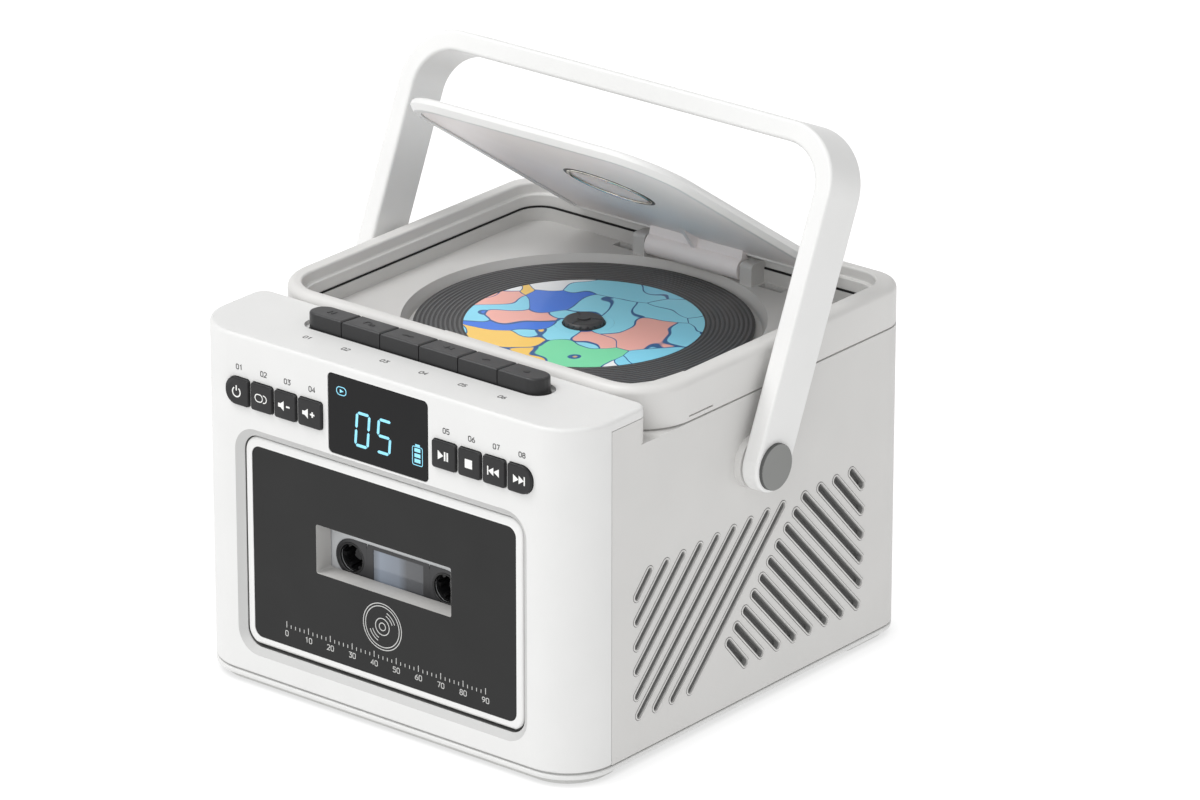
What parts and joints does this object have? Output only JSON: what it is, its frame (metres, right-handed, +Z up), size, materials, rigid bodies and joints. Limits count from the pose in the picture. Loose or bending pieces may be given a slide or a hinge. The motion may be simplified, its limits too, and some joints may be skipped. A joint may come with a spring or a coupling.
{
  "type": "portable disc and cassette player",
  "caption": "Squat upright player with an open disc deck and hinged lid on top, a U-shaped carrying handle, push keys, front buttons, a display and a cassette door.",
  "frame": {"origin": "on the floor under the middle of the bounding box", "axes": "+Z up, +Y to the back, +X to the right seen from the front"},
  "size_m": [0.1958, 0.1864, 0.2031],
  "materials": {
    "shell_white": "satin white moulded plastic",
    "shell_grey": "light grey moulded plastic",
    "deck_grey": "satin light grey plastic",
    "dark_plastic": "charcoal plastic",
    "lens_black": "glossy black lens",
    "soft_rubber": "light grey rubber",
    "board": "circuit board",
    "steel": "plated steel",
    "motor": "plated motor case",
    "cone": "paper cone",
    "cloth": "black cloth",
    "belt": "black rubber",
    "disc_poly": "printed polycarbonate disc",
    "cassette": "light grey cassette",
    "cell": "wrapped cells",
    "cap_grey": "mid grey plastic"
  },
  "bodies": {
    "cabinet": {"front_housing": "shell_white", "cabinet_shell": "shell_grey", "base_plate": "shell_grey", "rubber_feet": "soft_rubber", "case_screws": "steel", "deck_rim": "shell_white", "disc_tray": "deck_grey", "lid_hinge_pin": "steel", "handle_pins": "steel", "handle_washers": "shell_grey", "display_window": "lens_black", "front_board": "board", "main_board": "board", "key_guide": "dark_plastic", "tape_chassis": "steel", "tape_motor": "motor", "drive_belt": "belt", "disc_chassis": "dark_plastic", "spindle_motor": "motor", "guide_rails": "steel", "speaker_frames": "steel", "speaker_cones": "cone", "grille_cloths": "cloth", "battery_pack": "cell", "power_socket": "dark_plastic"},
    "lid": {"lid_cover": "shell_white", "lid_liner": "deck_grey", "hub_ring": "dark_plastic"},
    "handle": {"handle_bow": "shell_white", "handle_caps": "cap_grey"},
    "disc": {"cd_disc": "disc_poly", "turntable": "dark_plastic"},
    "sled": {"pickup_sled": "dark_plastic"},
    "sled_pinion": {"sled_gear": "shell_white"},
    "door": {"door_frame": "shell_white", "door_panel": "dark_plastic", "cassette_holder": "dark_plastic", "cassette_shell": "cassette"},
    "reel_left": {"reel_hub_left": "shell_white"},
    "reel_right": {"reel_hub_right": "shell_white"},
    "supply": {"supply_spindle": "dark_plastic"},
    "takeup": {"takeup_spindle": "dark_plastic"},
    "flywheel": {"capstan_flywheel": "steel"},
    "pulley": {"motor_pulley": "steel"},
    "heads": {"head_plate": "steel"},
    "roller": {"pinch_roller": "belt"},
    "button_volume_up": {"button_volume_up": "dark_plastic"},
    "button_volume_down": {"button_volume_down": "dark_plastic"},
    "button_repeat": {"button_repeat": "dark_plastic"},
    "button_power": {"button_power": "dark_plastic"},
    "button_play_pause": {"button_play_pause": "dark_plastic"},
    "button_stop": {"button_stop": "dark_plastic"},
    "button_previous": {"button_previous": "dark_plastic"},
    "button_next": {"button_next": "dark_plastic"},
    "key_pause": {"key_pause": "dark_plastic"},
    "key_stop_eject": {"key_stop_eject": "dark_plastic"},
    "key_fast_forward": {"key_fast_forward": "dark_plastic"},
    "key_rewind": {"key_rewind": "dark_plastic"},
    "key_play": {"key_play": "dark_plastic"},
    "key_record": {"key_record": "dark_plastic"}
  },
  "joints": [
    {"name": "lid_hinge", "type": "hinge", "parent": "cabinet", "child": "lid", "pos_m": [0, 0.0818, 0.1241], "axis": [1, 0, 0], "range_deg": [0, 34], "stiffness_Nm_per_rad": 0.03, "springref_deg": -85.94},
    {"name": "handle_pivot", "type": "hinge", "parent": "cabinet", "child": "handle", "pos_m": [0, 0.0029, 0.0933], "axis": [1, 0, 0], "range_deg": [-86.5, 23.5]},
    {"name": "disc_spin", "type": "hinge", "parent": "cabinet", "child": "disc", "pos_m": [0, 0.0182, 0.116], "axis": [0, 0, 1], "continuous": true},
    {"name": "sled_slide", "type": "slide", "parent": "cabinet", "child": "sled", "axis": [0, -1, 0], "range_m": [0, 0.033]},
    {"name": "sled_gear_spin", "type": "hinge", "parent": "cabinet", "child": "sled_pinion", "pos_m": [-0.0322, -0.016, 0.103], "axis": [0, 0, -1], "range_deg": [0, 264]},
    {"name": "door_hinge", "type": "hinge", "parent": "cabinet", "child": "door", "pos_m": [0, -0.087, 0.0192], "axis": [1, 0, 0], "range_deg": [0, 32]},
    {"name": "reel_left_spin", "type": "hinge", "parent": "door", "child": "reel_left", "pos_m": [-0.02125, -0.078, 0.0557], "axis": [0, -1, 0], "continuous": true},
    {"name": "reel_right_spin", "type": "hinge", "parent": "door", "child": "reel_right", "pos_m": [0.02125, -0.078, 0.0557], "axis": [0, -1, 0], "continuous": true},
    {"name": "supply_spin", "type": "hinge", "parent": "cabinet", "child": "supply", "pos_m": [-0.02125, -0.068, 0.0557], "axis": [0, -1, 0], "continuous": true},
    {"name": "takeup_spin", "type": "hinge", "parent": "cabinet", "child": "takeup", "pos_m": [0.02125, -0.068, 0.0557], "axis": [0, -1, 0], "continuous": true},
    {"name": "flywheel_spin", "type": "hinge", "parent": "cabinet", "child": "flywheel", "pos_m": [0.0195, -0.06, 0.0822], "axis": [0, -1, 0], "continuous": true},
    {"name": "pulley_spin", "type": "hinge", "parent": "cabinet", "child": "pulley", "pos_m": [-0.034, -0.06, 0.064], "axis": [0, -1, 0], "continuous": true},
    {"name": "head_slide", "type": "slide", "parent": "cabinet", "child": "heads", "axis": [0, 0, -1], "range_m": [0, 0.004], "stiffness_N_per_m": 500, "springref_m": -0.002},
    {"name": "roller_spin", "type": "hinge", "parent": "heads", "child": "roller", "pos_m": [0.0195, -0.0753, 0.09255], "axis": [0, -1, 0], "continuous": true},
    {"name": "button_volume_up_press", "type": "slide", "parent": "cabinet", "child": "button_volume_up", "axis": [0, 1, 0], "range_m": [0, 0.0008], "stiffness_N_per_m": 400, "springref_m": -0.0008},
    {"name": "button_volume_down_press", "type": "slide", "parent": "cabinet", "child": "button_volume_down", "axis": [0, 1, 0], "range_m": [0, 0.0008], "stiffness_N_per_m": 400, "springref_m": -0.0008},
    {"name": "button_repeat_press", "type": "slide", "parent": "cabinet", "child": "button_repeat", "axis": [0, 1, 0], "range_m": [0, 0.0008], "stiffness_N_per_m": 400, "springref_m": -0.0008},
    {"name": "button_power_press", "type": "slide", "parent": "cabinet", "child": "button_power", "axis": [0, 1, 0], "range_m": [0, 0.0008], "stiffness_N_per_m": 400, "springref_m": -0.0008},
    {"name": "button_play_pause_press", "type": "slide", "parent": "cabinet", "child": "button_play_pause", "axis": [0, 1, 0], "range_m": [0, 0.0008], "stiffness_N_per_m": 400, "springref_m": -0.0008},
    {"name": "button_stop_press", "type": "slide", "parent": "cabinet", "child": "button_stop", "axis": [0, 1, 0], "range_m": [0, 0.0008], "stiffness_N_per_m": 400, "springref_m": -0.0008},
    {"name": "button_previous_press", "type": "slide", "parent": "cabinet", "child": "button_previous", "axis": [0, 1, 0], "range_m": [0, 0.0008], "stiffness_N_per_m": 400, "springref_m": -0.0008},
    {"name": "button_next_press", "type": "slide", "parent": "cabinet", "child": "button_next", "axis": [0, 1, 0], "range_m": [0, 0.0008], "stiffness_N_per_m": 400, "springref_m": -0.0008},
    {"name": "key_pause_press", "type": "slide", "parent": "cabinet", "child": "key_pause", "axis": [0, 0, -1], "range_m": [0, 0.004], "stiffness_N_per_m": 400, "springref_m": -0.002},
    {"name": "key_stop_eject_press", "type": "slide", "parent": "cabinet", "child": "key_stop_eject", "axis": [0, 0, -1], "range_m": [0, 0.004], "stiffness_N_per_m": 400, "springref_m": -0.002},
    {"name": "key_fast_forward_press", "type": "slide", "parent": "cabinet", "child": "key_fast_forward", "axis": [0, 0, -1], "range_m": [0, 0.004], "stiffness_N_per_m": 400, "springref_m": -0.002},
    {"name": "key_rewind_press", "type": "slide", "parent": "cabinet", "child": "key_rewind", "axis": [0, 0, -1], "range_m": [0, 0.004], "stiffness_N_per_m": 400, "springref_m": -0.002},
    {"name": "key_play_press", "type": "slide", "parent": "cabinet", "child": "key_play", "axis": [0, 0, -1], "range_m": [0, 0.004]},
    {"name": "key_record_press", "type": "slide", "parent": "cabinet", "child": "key_record", "axis": [0, 0, -1], "range_m": [0, 0.004], "stiffness_N_per_m": 400, "springref_m": -0.002}
  ],
  "couplings": [
    {"joint": "sled_gear_spin", "follows": "sled_slide", "rad_per_m": 138.89},
    {"joint": "reel_left_spin", "follows": "supply_spin", "ratio": 1},
    {"joint": "reel_right_spin", "follows": "takeup_spin", "ratio": 1},
    {"joint": "pulley_spin", "follows": "flywheel_spin", "ratio": 5.7273},
    {"joint": "key_play_press", "follows": "head_slide", "ratio": 1}
  ]
}
